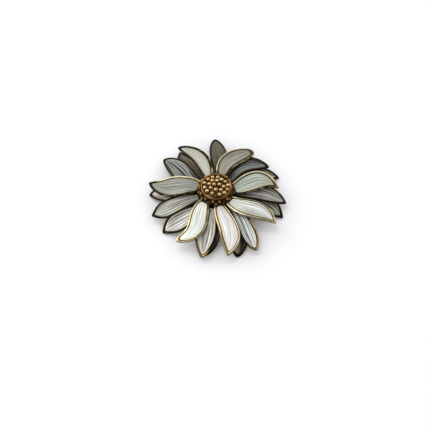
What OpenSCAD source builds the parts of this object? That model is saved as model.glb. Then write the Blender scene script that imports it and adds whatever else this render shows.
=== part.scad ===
// Enamelled flower brooch: three stacked tiers of seven petals, a beaded centre
// whose stud holds the tiers together, and a pin and catch behind.
// Lengths are in millimetres and angles in degrees. The flower's axis is +Z, and
// the tips of the lower petals rest on z = 0. Angles are counted from +X, counter-clockwise.

/* [Petal trays] */
// Thickness of the sheet under the enamel
floor_t = 0.38; // [0.3:0.02:0.4]
// Width of the rim round each upper petal
upper_rim = 0.65; // [0.6:0.05:0.7]
// Width of the rim round each middle and lower petal
under_rim = 0.45; // [0.4:0.05:0.5]
// Height of the rim above the tray floor
rim_h = 0.42; // [0.34:0.02:0.44]
// Gap left round each loose piece
gap = 0.05; // [0.04:0.01:0.06]

/* [Tier heights] */
// Height of the upper tray floor at the hub
upper_root = 7.0; // [6.9:0.05:7.1]
// Height of the upper tray floor at the petal tips
upper_tip = 4.1; // [4.0:0.1:4.4]
// Height of the middle tray floor at the hub
middle_root = 5.6; // [5.5:0.05:5.7]
// Height of the middle tray floor at the petal tips
middle_tip = 2.3; // [2.2:0.05:2.4]
// Height of the lower tray floor at the hub
lower_root = 4.2; // [4.1:0.05:4.3]

/* [Centre] */
// Radius of the centre at its foot
centre_r = 6.1; // [5.9:0.05:6.2]
// Radius of the wire ring round the beaded cap
ring_r = 5.0; // [4.9:0.05:5.1]
// Height of the wire ring above the foot of the centre
ring_rise = 2.2; // [2.0:0.1:2.3]
// Rise of the cap above the wire ring
cap_rise = 0.55; // [0.4:0.05:0.7]
// Diameter of a bead
bead_d = 1.45; // [1.3:0.05:1.5]
// Radius of the stud through the three hubs
stud_r = 1.4; // [1.2:0.1:1.5]

/* [Pin and catch] */
// Diameter of the pin stem
pin_d = 0.8; // [0.7:0.05:0.9]
// Distance of the pin stem from the middle, towards the top petal
pin_y = 3.0; // [2.5:0.1:3.2]
// Height of the pin stem above the resting surface
pin_z = 1.2; // [1.15:0.01:1.25]
// Length of the base strip
strip_len = 25; // [24.6:0.2:26]

/* [Hidden] */
$fn = 48;
EPS = 0.01;

// One row for each petal, in order round the flower. Columns: the angle of the tip, how far
// the tip reaches, how far the middle bows sideways, how strongly the petal waves
// like an S, its greatest width, where along the petal that lies, and how blunt the
// tip is (a low power is blunter).
ANGLE = 0;
REACH = 1;
BOW = 2;
WAVE = 3;
WIDTH = 4;
WIDEST = 5;
BLUNT = 6;
UPPER = [
    [  5.2, 21.4,  2.4, -1.2, 7.8, 0.57, 0.85],
    [ 52.6, 21.4,  3.8,  0.2, 6.5, 0.58, 0.40],
    [124.5, 23.5, -2.95, 0.3, 5.6, 0.50, 0.50],
    [168.3, 23.6,  0.8, -0.9, 8.15, 0.55, 0.78],
    [233.5, 22.5,  2.1, -1.5, 6.4, 0.50, 0.45],
    [279.0, 24.0,  1.5, -0.7, 6.7, 0.65, 0.78],
    [330.2, 23.1, -0.5, -1.0, 6.95, 0.57, 0.80],
];
MIDDLE = [
    [ 32.8, 21.9,  4.7, -0.5, 6.4, 0.58, 0.60],
    [ 91.0, 24.1, -1.4, -0.3, 6.2, 0.58, 0.55],
    [139.6, 24.1,  1.4,  0.8, 7.5, 0.57, 0.60],
    [199.3, 23.1, -0.4, -0.2, 6.65, 0.74, 0.80],
    [258.5, 24.0, -0.5, -0.2, 7.2, 0.58, 0.65],
    [302.9, 24.6,  1.6,  0.3, 5.6, 0.72, 0.57],
    [354.0, 24.0,  2.0, -0.3, 6.6, 0.62, 0.72],
];
LOWER = [
    [ 22.8, 23.8,  2.2, -1.0, 6.9, 0.59, 0.70],
    [122.3, 24.0,  0.9, -0.6, 6.3, 0.58, 0.85],
    [174.2, 23.2,  0.0,  0.2, 7.8, 0.62, 0.70],
    [215.3, 22.1,  1.1,  0.5, 7.5, 0.68, 0.75],
    [257.0, 22.6,  1.0, -0.1, 7.6, 0.72, 0.70],
    [287.5, 23.2,  2.0, -0.5, 7.6, 0.64, 0.62],
    [343.0, 23.7,  2.0, -0.5, 7.8, 0.64, 0.80],
];

// One row for each tier. Columns: height of the tray floor at the hub and at the tips, the
// radius where it has come down to the tips' height (0 where each petal ends at that
// height), how far the petals arch between them, how far their edges drop below
// the middle line, their width at the root as a share of the greatest, and the
// width of their rims.
ROOT_Z = 0;
TIP_Z = 1;
SPAN = 2;
ARCH = 3;
DROOP = 4;
NARROW = 5;
RIM = 6;
UPPER_FORM = [upper_root, upper_tip, 24.2, 0.9, 0.32, 0.30, upper_rim];
MIDDLE_FORM = [middle_root, middle_tip, 24.8, 0.6, -0.12, 0.25, under_rim];
LOWER_FORM = [lower_root, floor_t, 0, 0.5, -0.12, 0.25, under_rim];

// Sections along a petal, as shares of its length, closer at the root and the tip
SECTIONS = [0, 0.03, 0.1, 0.2, 0.32, 0.45, 0.57, 0.68, 0.78, 0.86, 0.92, 0.965, 0.99, 0.998, 1];
LAST = len(SECTIONS) - 1;
RING = 2 * LAST + 1;    // points round one outline: up one side, the tip, down the other

spine_r = 3.0;          // radius where the middle lines of the petals start
flat_r = 6.0;           // radius up to which a tier is level
fall_power = 1.5;       // 1 would make a tier a plain cone outside that radius
tray_r = 4.2;           // radius where the trays start, inside the hub disc
fill_r = centre_r + 0.1;    // radius where the enamel starts, just clear of the centre
inset_fade = 0.3;       // half width below which the inset shrinks, so that a tip never crosses itself
root_corner = 0.62;     // share of the width that the rounded root end of the enamel starts with
mid_share = 0.4;        // share of the half width at which a surface changes its slope
wall_lean = 0.45;       // how far a wall's foot is drawn in, as a share of the rim's width
fill_swell = 0.05;      // how far the white enamel swells along the middle
fill_fold = 0.12;       // how deep the grey enamel is folded along the middle
fill_low = 0.07;        // depth of the enamel's edge below the rim
hub_r = 5.5;            // radius of the hub disc
hub_under = 0.2;        // how far the hub disc reaches below the tray floor
hub_over = 0.12;        // and above it
boss_r = 2.8;           // radius of the spacers between the hubs
bore_r = stud_r + 0.05;
centre_z = upper_root + rim_h + 0.05;   // foot of the centre, just above the rims
ring_z = centre_z + ring_rise;
wire_d = 0.4;           // thickness of the wire ring
shell_t = 0.8;          // wall of the hollow centre
flank_bead_d = 0.75 * bead_d;
bead_sunk = 0.15;       // how far the middle of a bead lies below the surface of the dome
strip_top = 3.05;       // upper face of the base strip
strip_t = 0.5;
strip_w = 7.0;
strip_y = 1.0;          // middle line of the base strip
strip_corner = 1.0;
strip_foot = strip_top - strip_t;
rivet_t = 0.3;
rivet_r = 2.1;
block_x = -11.1;        // middle of the hinge block
block_r = 1.2;
block_w = 2.6;
catch_x = 10.6;         // middle of the catch
catch_w = 2.2;
catch_t = 0.35;
catch_gap = 0.3;        // room round the stem inside the catch
catch_turn = 240;       // how far the hook goes round the stem
point_len = 2.5;        // the tapered point of the stem
point_d = 0.15;

ENAMEL = [for (tier = ["upper", "middle", "lower"]) for (i = [1:7]) str(tier, "_enamel_", i)];

function turned(v, a) = [v[0] * cos(a) - v[1] * sin(a), v[0] * sin(a) + v[1] * cos(a), v[2]];

// The middle line of a petal and its direction, seen from above, t from 0 at the root to 1
function spine(p, t) = [
    spine_r + (p[REACH] - spine_r) * t,
    p[BOW] * sin(180 * t) + p[WAVE] * sin(360 * t)
];
function along(p, t) = let (
    d = [p[REACH] - spine_r, PI * (p[BOW] * cos(180 * t) + 2 * p[WAVE] * cos(360 * t))]
) d / norm(d);
function place_at(p, r) = (r - spine_r) / (p[REACH] - spine_r);

// Length of metal between the enamel and the tip, more where the tip is sharp
function tip_rim(p, f) = f[RIM] + 0.65 * p[BLUNT];

// How the width closes from the widest place to the tip, or to the enamel's end
function closing(p, t, end) =
    pow(max(0, cos(90 * (t - p[WIDEST]) / (end - p[WIDEST]))), p[BLUNT]);

// Half width of the petal, and of its enamel, which ends at the place t = end
function half(p, f, t) = p[WIDTH] / 2 * (t < p[WIDEST]
    ? f[NARROW] + (1 - f[NARROW]) * cos(90 * (p[WIDEST] - t) / p[WIDEST])
    : closing(p, t, 1));
function half_inside(p, f, t, end) = t < p[WIDEST]
    ? half(p, f, t) - f[RIM]
    : (p[WIDTH] / 2 - f[RIM]) * closing(p, t, end);

// Height of the tray floor, where drop is 0 on the middle line and 1 at the widest edge
function floor_z(p, f, t, drop) = let (
    span = f[SPAN] > 0 ? f[SPAN] : p[REACH],
    u = max(0, (norm(spine(p, t)) - flat_r) / (span - flat_r)),
    fall = (f[TIP_Z] - f[ROOT_Z]) * pow(u, fall_power)
) f[ROOT_Z] + fall + f[ARCH] * sin(180 * u) - f[DROOP] * drop;

// A point beside the middle line: off is its distance, and high its height above the tray floor
function petal_point(p, f, t, off, high) = let (
    c = spine(p, t),
    d = along(p, t),
    drop = pow(2 * off / p[WIDTH], 2)
) turned([c[0] - d[1] * off, c[1] + d[0] * off, floor_z(p, f, t, drop) + high], p[ANGLE]);

function side(i) = i <= LAST ? 1 : -1;
function step(i) = SECTIONS[min(i, 2 * LAST - i)];

// An outline of RING points, from the hub to the tip of the petal and back. A share below 1
// draws it in towards the middle line, to shape a surface inside the outline
function outer_ring(p, f, high, share) = let (
    start = place_at(p, tray_r + (1 - share)),
    end = place_at(p, p[REACH] - 2 * (1 - share))
) [
    for (i = [0:RING - 1]) let (t = start + (end - start) * step(i))
        petal_point(p, f, t, side(i) * share * half(p, f, t / end), high)
];
// The same for the enamel's outline, pulled in all round by inset
function inner_ring(p, f, high, share, inset) = let (
    start = place_at(p, fill_r + inset + (1 - share)),
    end = place_at(p, p[REACH] - tip_rim(p, f) - inset - 2 * (1 - share))
) [
    for (i = [0:RING - 1]) let (
        t = start + (end - start) * step(i),
        corner = step(i) > 0 ? 1 : root_corner,
        inside = half_inside(p, f, t, end)
    ) petal_point(p, f, t,
        side(i) * share * corner * (inside - inset * min(1, inside / inset_fade)), high)
];

// The foot of a wall, which leans in under the rim everywhere but at the root
function foot_ring(p, f) = let (
    out = outer_ring(p, f, -floor_t, 1),
    in = inner_ring(p, f, -floor_t, 1, 0)
) [for (i = [0:RING - 1]) out[i] + (in[i] - out[i]) * (step(i) > 0 ? wall_lean : 0)];

// A closed solid through a list of outlines, the first and the last closed across
module skin(rings) {
    count = len(rings);
    walls = [
        for (k = [0:count - 2], i = [0:RING - 1]) let (
            a = k * RING + i,
            b = k * RING + (i + 1) % RING,
            c = b + RING,
            d = a + RING
        ) each [[a, b, c], [a, c, d]]
    ];
    foot = cap(0);
    head = cap((count - 1) * RING);
    polyhedron([for (r = rings) each r], concat(walls, head, [for (t = foot) [t[0], t[2], t[1]]]));
}
// Triangles across an outline, from one side to the other
function cap(first) = [
    for (i = [0:LAST - 1]) let (
        a = first + i,
        b = first + i + 1,
        c = first + 2 * LAST - i - 1,
        d = first + 2 * LAST - i
    ) each (b == c ? [[a, b, d]] : [[a, b, d], [b, c, d]])
];

// One tray: a sheet floor with a raised rim round it
module tray(p, f) {
    skin([
        outer_ring(p, f, -floor_t, mid_share),
        foot_ring(p, f),
        outer_ring(p, f, rim_h, 1),
        inner_ring(p, f, rim_h, 1, 0),
        inner_ring(p, f, 0, 1, 0),
        inner_ring(p, f, 0, mid_share, 0)
    ]);
}

// Height of the boss below one hub disc, down to the disc of the tier below
function boss_between(over, under) = over - floor_t - hub_under - under - hub_over - gap;

// One tier: seven trays round a bored hub disc, and the boss that keeps it off the tier below
module tier(petals, f, boss_h) {
    hub_z = f[ROOT_Z] - floor_t - hub_under;
    difference() {
        union() {
            for (p = petals) tray(p, f);
            translate([0, 0, hub_z])
                cylinder(r = hub_r, h = floor_t + hub_under + hub_over);
            if (boss_h > 0) translate([0, 0, hub_z - boss_h])
                cylinder(r = boss_r, h = boss_h + hub_under);
        }
        translate([0, 0, hub_z - boss_h - 1])
            cylinder(r = bore_r, h = boss_h + floor_t + 2);
    }
}

// The enamel of one petal. A dip above 0 makes it lower along the middle, as in a fold
module enamel(p, f, dip) {
    top = rim_h - fill_low;
    skin([
        inner_ring(p, f, gap, mid_share, gap),
        inner_ring(p, f, gap, 1, gap),
        inner_ring(p, f, top, 1, gap),
        inner_ring(p, f, top - dip, mid_share, gap)
    ]);
}

module upper_petals() {
    color("darkgoldenrod")
        tier(UPPER, UPPER_FORM, boss_between(upper_root, middle_root));
}

module middle_petals() {
    color("darkgoldenrod")
        tier(MIDDLE, MIDDLE_FORM, boss_between(middle_root, lower_root));
}

module lower_petals() {
    color("darkgoldenrod")
        tier(LOWER, LOWER_FORM, 0);
}

module upper_enamel(i) {
    color("ivory") enamel(UPPER[i - 1], UPPER_FORM, -fill_swell);
}

module middle_enamel(i) {
    color("lightsteelblue") enamel(MIDDLE[i - 1], MIDDLE_FORM, fill_fold);
}

module lower_enamel(i) {
    color("slategray") enamel(LOWER[i - 1], LOWER_FORM, fill_fold);
}

// Beads of the cap, set where the photo shows them. Columns: X and Y
CAP_BEADS = [
    [-1.2,  3.5], [ 0.6,  3.5], [-2.7,  2.7], [ 1.8,  2.5], [-1.3,  2.0], [ 0.3,  2.0],
    [ 3.1,  1.7], [-3.8,  1.25], [-2.3,  0.7], [-0.7,  0.5], [ 1.1,  0.5], [ 4.0,  0.4],
    [ 2.5, -0.3], [-3.8, -0.5], [-1.8, -0.8], [ 3.8, -1.25], [-0.1, -1.5], [ 1.6, -1.6],
    [-3.0, -1.9], [ 2.8, -2.6], [-1.3, -2.9], [ 1.1, -3.3],
];
// Beads of the flank: columns are the share of the way from the foot up to the ring,
// how many beads, and the turn of the row as a share of the spacing
FLANK_ROWS = [[0.62, 14, 0], [0.24, 14, 0.5]];

function cap_z(r) = ring_z + cap_rise * (1 - pow(r / ring_r, 2));
// Radius of the flank at a share of its height: a quarter wave between foot and ring
function flank_r(s) = centre_r - (centre_r - ring_r) * (1 - cos(90 * s));

module beads() {
    for (place = CAP_BEADS)
        translate([place[0], place[1], cap_z(norm(place)) - bead_sunk]) sphere(d = bead_d);
    for (row = FLANK_ROWS, i = [0:row[1] - 1])
        rotate([0, 0, 360 * (i + row[2]) / row[1]])
            translate([flank_r(row[0]) - bead_sunk, 0, centre_z + ring_rise * row[0]])
                sphere(d = flank_bead_d);
}

// The shell of the centre, hollow below, with a flat foot, and its wire ring
module dome() {
    steps = [0:0.2:1];
    flank = [for (s = steps) [flank_r(s), centre_z + ring_rise * s]];
    cap_side = [for (s = steps) [ring_r * (1 - s), cap_z(ring_r * (1 - s))]];
    hollow = [
        [0, ring_z - 0.5 * shell_t],
        [ring_r - 1.6 * shell_t, ring_z - 0.6 * shell_t],
        [centre_r - shell_t, centre_z]
    ];
    rotate_extrude() polygon(concat(flank, cap_side, hollow));
    translate([0, 0, ring_z + 0.1 * wire_d])
        rotate_extrude() translate([ring_r - 0.1 * wire_d, 0]) circle(d = wire_d);
}

// The stud through the three hubs, with its riveted head below the base strip
module stud() {
    head_z = strip_foot - gap - rivet_t;
    translate([0, 0, head_z]) cylinder(r = stud_r, h = ring_z - head_z);
    translate([0, 0, head_z]) cylinder(r = rivet_r, h = rivet_t);
}

module flower_centre() {
    color("goldenrod") union() {
        dome();
        beads();
        stud();
    }
}

// A flat strip along X with round corners, its lower face at height z
module strip(length, width, corner, z, t) {
    x = length / 2 - corner;
    y = width / 2 - corner;
    translate([0, strip_y, z]) {
        translate([-x, -width / 2, 0]) cube([2 * x, width, t]);
        translate([-length / 2, -y, 0]) cube([length, 2 * y, t]);
        for (sx = [-1, 1], sy = [-1, 1]) translate([sx * x, sy * y, 0]) cylinder(r = corner, h = t);
    }
}

// The hinge block, hanging from the strip down to a round end at the stem
module hinge_block(drop) {
    translate([-block_r, -block_w / 2, 0]) cube([2 * block_r, block_w, drop + EPS]);
    translate([0, -block_w / 2, 0]) rotate([-90, 0, 0]) cylinder(r = block_r, h = block_w);
}

// The catch: a hook of sheet round the stem, open towards -Y, hanging from the strip
module hook(r, drop) {
    rotate([0, 90, 0]) translate([0, 0, -catch_w / 2]) rotate([0, 0, -90])
        rotate_extrude(angle = catch_turn) translate([r, 0]) square([catch_t, catch_w]);
    translate([-catch_w / 2, r, 0]) cube([catch_w, catch_t, drop + EPS]);
}

// The stem along X from the middle of the hinge block, with its point just past the catch
module stem() {
    straight = catch_x + catch_w / 2 + 0.3 - block_x;
    rotate([0, 90, 0]) {
        cylinder(d = pin_d, h = straight);
        translate([0, 0, straight]) cylinder(d1 = pin_d, d2 = point_d, h = point_len);
    }
}

module pin_and_catch() {
    drop = strip_foot - pin_z;
    boss_h = lower_root - floor_t - hub_under - gap - strip_foot;
    color("tan") union() {
        difference() {
            union() {
                strip(strip_len, strip_w, strip_corner, strip_foot, strip_t);
                translate([0, 0, strip_foot]) cylinder(r = boss_r, h = boss_h);
            }
            translate([0, 0, strip_foot - 1]) cylinder(r = bore_r, h = boss_h + 2);
        }
        translate([block_x, pin_y, pin_z]) {
            hinge_block(drop);
            stem();
        }
        translate([catch_x, pin_y, pin_z]) hook(pin_d / 2 + catch_gap, drop);
    }
}

upper_petals();
middle_petals();
lower_petals();
for (i = [1:7]) {
    upper_enamel(i);
    middle_enamel(i);
    lower_enamel(i);
}
flower_centre();
pin_and_catch();
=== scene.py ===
# %% [markdown]
# # An enamelled flower brooch
# The brooch is a daisy of three stamped plates, one above the other, each with seven
# petal trays. Enamel is fired into every tray, a beaded dome sits on top, and a stud
# through the middle holds all of it together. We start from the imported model, which
# gives each piece's true size and place, and dress it piece by piece. A visible piece
# is modelled again with a rounder, finer mesh that stays where the frame says.

# %% Load the frame
import math
import random
from collections import namedtuple

import bmesh
import bpy
from mathutils import Matrix, Vector


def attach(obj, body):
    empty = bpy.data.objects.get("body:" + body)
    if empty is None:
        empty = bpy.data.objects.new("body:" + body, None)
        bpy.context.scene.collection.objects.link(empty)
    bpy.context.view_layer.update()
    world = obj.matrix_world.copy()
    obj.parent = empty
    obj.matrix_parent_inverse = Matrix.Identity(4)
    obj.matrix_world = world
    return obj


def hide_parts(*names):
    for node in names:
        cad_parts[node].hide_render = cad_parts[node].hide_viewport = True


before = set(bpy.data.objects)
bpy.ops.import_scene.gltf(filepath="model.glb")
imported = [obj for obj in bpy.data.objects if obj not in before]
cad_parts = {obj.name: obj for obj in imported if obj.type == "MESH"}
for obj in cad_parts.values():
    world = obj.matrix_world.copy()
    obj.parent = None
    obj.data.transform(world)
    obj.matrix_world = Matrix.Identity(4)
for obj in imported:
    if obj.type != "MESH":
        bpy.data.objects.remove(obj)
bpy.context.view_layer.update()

MM = 0.001

# %% [markdown]
# ## The camera
# The brooch lies flat and the camera looks down at it from the front. Its angle and aim
# were fitted to outlines of the petals, the wire and the dome, traced over the
# photo. The round wire looks like an ellipse, and how much that is squashed tells how
# steeply we look down. The lens is worked out from the distance and from how many
# millimetres one pixel of the square picture covers.

# %% Camera
PICTURE_PX = 430
MM_PER_PX = 0.335
SENSOR = 36.0
DISTANCE = 340 * MM
ELEVATION = math.radians(59.3)
AIM = Vector((-0.4, -8.55, 5.4)) * MM
TO_CAMERA = Vector((0, -math.cos(ELEVATION), math.sin(ELEVATION)))


def add_camera():
    data = bpy.data.cameras.new("camera")
    data.sensor_width = SENSOR
    data.lens = SENSOR * DISTANCE / (PICTURE_PX * MM_PER_PX * MM)
    data.clip_start = 0.01
    camera = bpy.data.objects.new("camera", data)
    camera.location = AIM + DISTANCE * TO_CAMERA
    camera.rotation_euler = (math.pi / 2 - ELEVATION, 0, 0)
    bpy.context.scene.collection.objects.link(camera)
    bpy.context.scene.camera = camera
    return camera


print("lens in mm:", round(add_camera().data.lens, 2))

# %% [markdown]
# ## Helpers for shader nodes
# The light of the room, the gilt and the enamel are all small networks of nodes: noise,
# sums, mixtures and ranges. They could be wired by hand each time, which takes five lines
# a node. These helpers take one line a node, so that a recipe below reads like a formula.
# Noise mostly stays between 0.3 and 0.7, so a range stretches it wherever it is used.

# %% Node helpers
FLOAT = "NodeSocketFloat"
COLOUR = "NodeSocketColor"


def add_node(tree, kind, **settings):
    node = tree.nodes.new(kind)
    for name, value in settings.items():
        setattr(node, name, value)
    return node


def plug(tree, value, socket):
    """Links a socket, or sets a plain number or colour."""
    if isinstance(value, bpy.types.NodeSocket):
        tree.links.new(value, socket)
    elif isinstance(value, tuple):
        socket.default_value = (*value, 1)
    else:
        socket.default_value = value


def add_mix(tree, factor, first, second, blend="MIX"):
    """Mixes two colours, each a socket or a colour."""
    node = add_node(tree, "ShaderNodeMix", data_type="RGBA", blend_type=blend)
    plug(tree, factor, node.inputs[0])
    plug(tree, first, node.inputs[6])
    plug(tree, second, node.inputs[7])
    return node.outputs[2]


def add_range(tree, value, lo, hi, to_lo=0.0, to_hi=1.0, smooth=False):
    """Maps a value from one range to another."""
    node = add_node(tree, "ShaderNodeMapRange")
    if smooth:
        node.interpolation_type = "SMOOTHSTEP"
    for socket, number in zip(node.inputs, (value, lo, hi, to_lo, to_hi)):
        plug(tree, number, socket)
    return node.outputs[0]


def add_maths(tree, operation, first, second):
    node = add_node(tree, "ShaderNodeMath", operation=operation)
    plug(tree, first, node.inputs[0])
    plug(tree, second, node.inputs[1])
    return node.outputs[0]


def add_noise(tree, where, scale, detail):
    node = add_node(tree, "ShaderNodeTexNoise")
    tree.links.new(where, node.inputs["Vector"])
    node.inputs["Scale"].default_value = scale
    node.inputs["Detail"].default_value = detail
    node.inputs["Roughness"].default_value = 0.55
    return node.outputs["Fac"]


def add_split(tree, vector):
    """The three parts of a vector."""
    node = add_node(tree, "ShaderNodeSeparateXYZ")
    tree.links.new(vector, node.inputs[0])
    return node.outputs


def add_stored(tree, name):
    """A number that the corners of the mesh store."""
    return add_node(tree, "ShaderNodeAttribute", attribute_name=name).outputs["Fac"]


def make_group(name, inputs, outputs):
    """A node group with named sockets. Each row is a name, a kind and a first value."""
    tree = bpy.data.node_groups.new(name, "ShaderNodeTree")
    for label, kind, value in inputs:
        socket = tree.interface.new_socket(label, in_out="INPUT", socket_type=kind)
        socket.default_value = (*value, 1) if isinstance(value, tuple) else value
    for label, kind in outputs:
        tree.interface.new_socket(label, in_out="OUTPUT", socket_type=kind)
    start = add_node(tree, "NodeGroupInput")
    end = add_node(tree, "NodeGroupOutput")
    return tree, start.outputs, end.inputs


def place_group(tree, group, **values):
    node = add_node(tree, "ShaderNodeGroup", node_tree=group)
    for name, value in values.items():
        plug(tree, value, node.inputs[name.replace("_", " ")])
    return node.outputs


def add_bump(tree, height, distance, normal_in):
    """Feeds a height pattern to the shader as fine relief, its depth in metres."""
    node = add_node(tree, "ShaderNodeBump")
    node.inputs["Distance"].default_value = distance
    tree.links.new(height, node.inputs["Height"])
    tree.links.new(node.outputs["Normal"], normal_in)


def new_material(name):
    material = bpy.data.materials.new(name)
    material.use_nodes = True
    tree = material.node_tree
    return material, tree, tree.nodes["Principled BSDF"].inputs


def tone(code):
    """A colour as six hex digits, as in a paint chart, made linear."""
    parts = [int(code[i:i + 2], 16) / 255 for i in (0, 2, 4)]
    return tuple(p / 12.92 if p < 0.04045 else ((p + 0.055) / 1.055) ** 2.4 for p in parts)


print("a screen's mid grey, 808080, is", round(tone("808080")[0], 3), "in linear light")

# %% [markdown]
# ## Floor and light
# Small silver is usually photographed on a white sheet under soft lamps. A small key lamp
# above and a little to the left puts a highlight on every bead, and a large low one behind
# and to the left pushes the shadow softly to the front. The white room fills in the rest,
# more from the front than from behind. Polished metal shows whatever stands around it, so
# what it mirrors is a second room that is dark round the camera and in front. That draws
# the dark line along the near side of every rim. One even room would leave the metal flat.

# %% Floor and light
FLOOR_SIZE = 6.0
SHEET_COLOUR = (0.8, 0.81, 0.83)
KEY_SIZE = 0.24
KEY_PLACE = Vector((-0.12, 0.08, 0.53))
KEY_WATTS = 0.52
BACK_SIZE = 0.5
BACK_PLACE = Vector((-0.5, 0.3, 0.3))
BACK_WATTS = 1.1
ROOM_COLOUR = (1.0, 0.992, 0.98)
FILL_FRONT = 1.34
FILL_BEHIND = 0.74
MIRRORED = 0.8
MIRRORED_CAMERA = 0.05
MIRRORED_FRONT = 0.3


def add_floor():
    bm = bmesh.new()
    bmesh.ops.create_grid(bm, x_segments=1, y_segments=1, size=FLOOR_SIZE / 2)
    mesh = bpy.data.meshes.new("floor")
    bm.to_mesh(mesh)
    bm.free()
    material, tree, shader = new_material("white_sheet")
    plug(tree, SHEET_COLOUR, shader["Base Color"])
    shader["Roughness"].default_value = 0.9
    mesh.materials.append(material)
    floor = bpy.data.objects.new("floor", mesh)
    bpy.context.scene.collection.objects.link(floor)


def add_lamp(name, place, size, watts):
    """A round soft lamp that faces the brooch."""
    data = bpy.data.lights.new(name, "AREA")
    data.shape = "DISK"
    data.size = size
    data.energy = watts
    lamp = bpy.data.objects.new(name, data)
    lamp.location = place
    lamp.rotation_euler = (-place).to_track_quat("-Z", "Y").to_euler()
    bpy.context.scene.collection.objects.link(lamp)


def set_world():
    """The white room, and the darker one that only mirrored rays see. The y of a direction
    runs from -1 in front to 1 behind."""
    world = bpy.data.worlds.new("studio")
    world.use_nodes = True
    tree = world.node_tree
    background = tree.nodes["Background"].inputs
    plug(tree, ROOM_COLOUR, background["Color"])
    direction = add_node(tree, "ShaderNodeTexCoord").outputs["Generated"]
    backwards = add_split(tree, direction)[1]
    room = add_range(tree, backwards, -1.0, 1.0, FILL_FRONT, FILL_BEHIND)
    facing = add_node(tree, "ShaderNodeVectorMath", operation="DOT_PRODUCT")
    tree.links.new(direction, facing.inputs[0])
    facing.inputs[1].default_value = TO_CAMERA
    around = add_range(tree, facing.outputs["Value"], 0.35, 0.85, MIRRORED, MIRRORED_CAMERA)
    behind = add_range(tree, backwards, -0.7, 0.1, MIRRORED_FRONT, 1.0)
    mix = add_node(tree, "ShaderNodeMix")
    plug(tree, add_node(tree, "ShaderNodeLightPath").outputs["Is Glossy Ray"], mix.inputs[0])
    plug(tree, room, mix.inputs[2])
    plug(tree, add_maths(tree, "MULTIPLY", around, behind), mix.inputs[3])
    plug(tree, mix.outputs[0], background["Strength"])
    bpy.context.scene.world = world


add_floor()
add_lamp("key_lamp", KEY_PLACE, KEY_SIZE, KEY_WATTS)
add_lamp("back_lamp", BACK_PLACE, BACK_SIZE, BACK_WATTS)
set_world()
bpy.context.scene.view_settings.view_transform = "Standard"
print("lamps", [round(p.length, 2) for p in (KEY_PLACE, BACK_PLACE)], "m away")

# %% [markdown]
# ## Antique gilt
# Old gilt silver is bright where fingers and cloth rub it, on rims and beads, and
# nearly black where polish never reaches. The paler spots are silver that shows through
# thin gold, and on the tops of the beads they also paint part of the highlight. Each mesh
# below carries a number for wear, 1 where it is rubbed and 0 deep down. On the petal rims
# it also holds painted light and shade, set for each side by how that side faces the light.
# This group turns it into colour, roughness and metal. A group fits, because rims, dome
# and fittings share the effect with other colours.

# %% Antique gilt
BLOTCH_SCALE = 520
GRAIN_SCALE = 5200
GRAIN_DEPTH = 0.012 * MM
WEAR_SPREAD = 0.34


def antique_gilt_group():
    tree, given, out = make_group(
        "antique gilt",
        [("Gold", COLOUR, (0.8, 0.6, 0.3)), ("Worn Silver", COLOUR, (0.9, 0.85, 0.7)),
         ("Patina", COLOUR, (0.02, 0.012, 0.005)), ("Grime", FLOAT, 0.5)],
        [("Color", COLOUR), ("Roughness", FLOAT), ("Metallic", FLOAT), ("Height", FLOAT)])
    where = add_node(tree, "ShaderNodeTexCoord").outputs["Object"]
    blotch = add_noise(tree, where, BLOTCH_SCALE, 3)
    grain = add_noise(tree, where, GRAIN_SCALE, 3)
    shaken = add_maths(tree, "ADD", add_stored(tree, "wear"),
                       add_range(tree, blotch, 0.3, 0.7, -0.14, 0.14))
    bare = add_maths(tree, "ADD", given["Grime"], WEAR_SPREAD)
    clean = add_range(tree, shaken, given["Grime"], bare, smooth=True)
    pale = add_range(tree, add_maths(tree, "MULTIPLY", shaken, clean), 0.72, 1.05, 0.0, 0.75)
    metal = add_mix(tree, pale, given["Gold"], given["Worn Silver"])
    plug(tree, add_mix(tree, clean, given["Patina"], metal), out["Color"])
    plug(tree, add_range(tree, clean, 0, 1, 0.46, 0.3), out["Roughness"])
    plug(tree, add_range(tree, clean, 0, 1, 0.85, 1.0), out["Metallic"])
    plug(tree, add_maths(tree, "ADD", grain, blotch), out["Height"])
    return tree


ANTIQUE_GILT = antique_gilt_group()


def gilt_material(name, gold, worn, patina, grime):
    """One gilt finish. More grime leaves less of the metal clean."""
    material, tree, shader = new_material(name)
    made = place_group(tree, ANTIQUE_GILT, Gold=tone(gold), Worn_Silver=tone(worn),
                       Patina=tone(patina), Grime=grime)
    plug(tree, made["Color"], shader["Base Color"])
    plug(tree, made["Roughness"], shader["Roughness"])
    plug(tree, made["Metallic"], shader["Metallic"])
    add_bump(tree, made["Height"], GRAIN_DEPTH, shader["Normal"])
    return material


RIM_GILT = gilt_material("rim_gilt", "d8c690", "fbf5e2", "281e06", 0.30)
DARK_GILT = gilt_material("dark_gilt", "b08c46", "e8d098", "221804", 0.36)
# On the bead tops the pale worn colour is partly a painted highlight.
CENTRE_GILT = gilt_material("centre_gilt", "d0a05a", "ffe8b8", "2e1d05", 0.2)
FITTING_GILT = gilt_material("fitting_gilt", "d8bd82", "eee2bc", "3a2a14", 0.12)
print("gilt finishes:", [m.name for m in (RIM_GILT, DARK_GILT, CENTRE_GILT, FITTING_GILT)])

# %% [markdown]
# ## Enamel over engraved lines
# The petals are filled with translucent glass. Under it the silver is engraved with
# lengthwise flutes, and where a groove is deep the glass is thick and looks darker.
# That could be paint on a flat surface, but then the lines would not move in the light.
# So the flutes are real relief in the mesh, which also stores how deep each point lies,
# and this group colours the grooves and adds finer engraved lines. It gives the pearly
# drift of pink and green that old white enamel has, a painted yellow reflection of the gilt
# rim on the glass beside it, and a dark line along the rim that is partly dirt and partly
# painted shade. It also paints shade on one side of a petal or at its root where its row
# asks for it.

# %% Enamel
LINE_DEPTH = 0.02 * MM
GREEN_SHEEN = "e4f0e8"
PINK_SHEEN = "f3e6ee"
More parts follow.
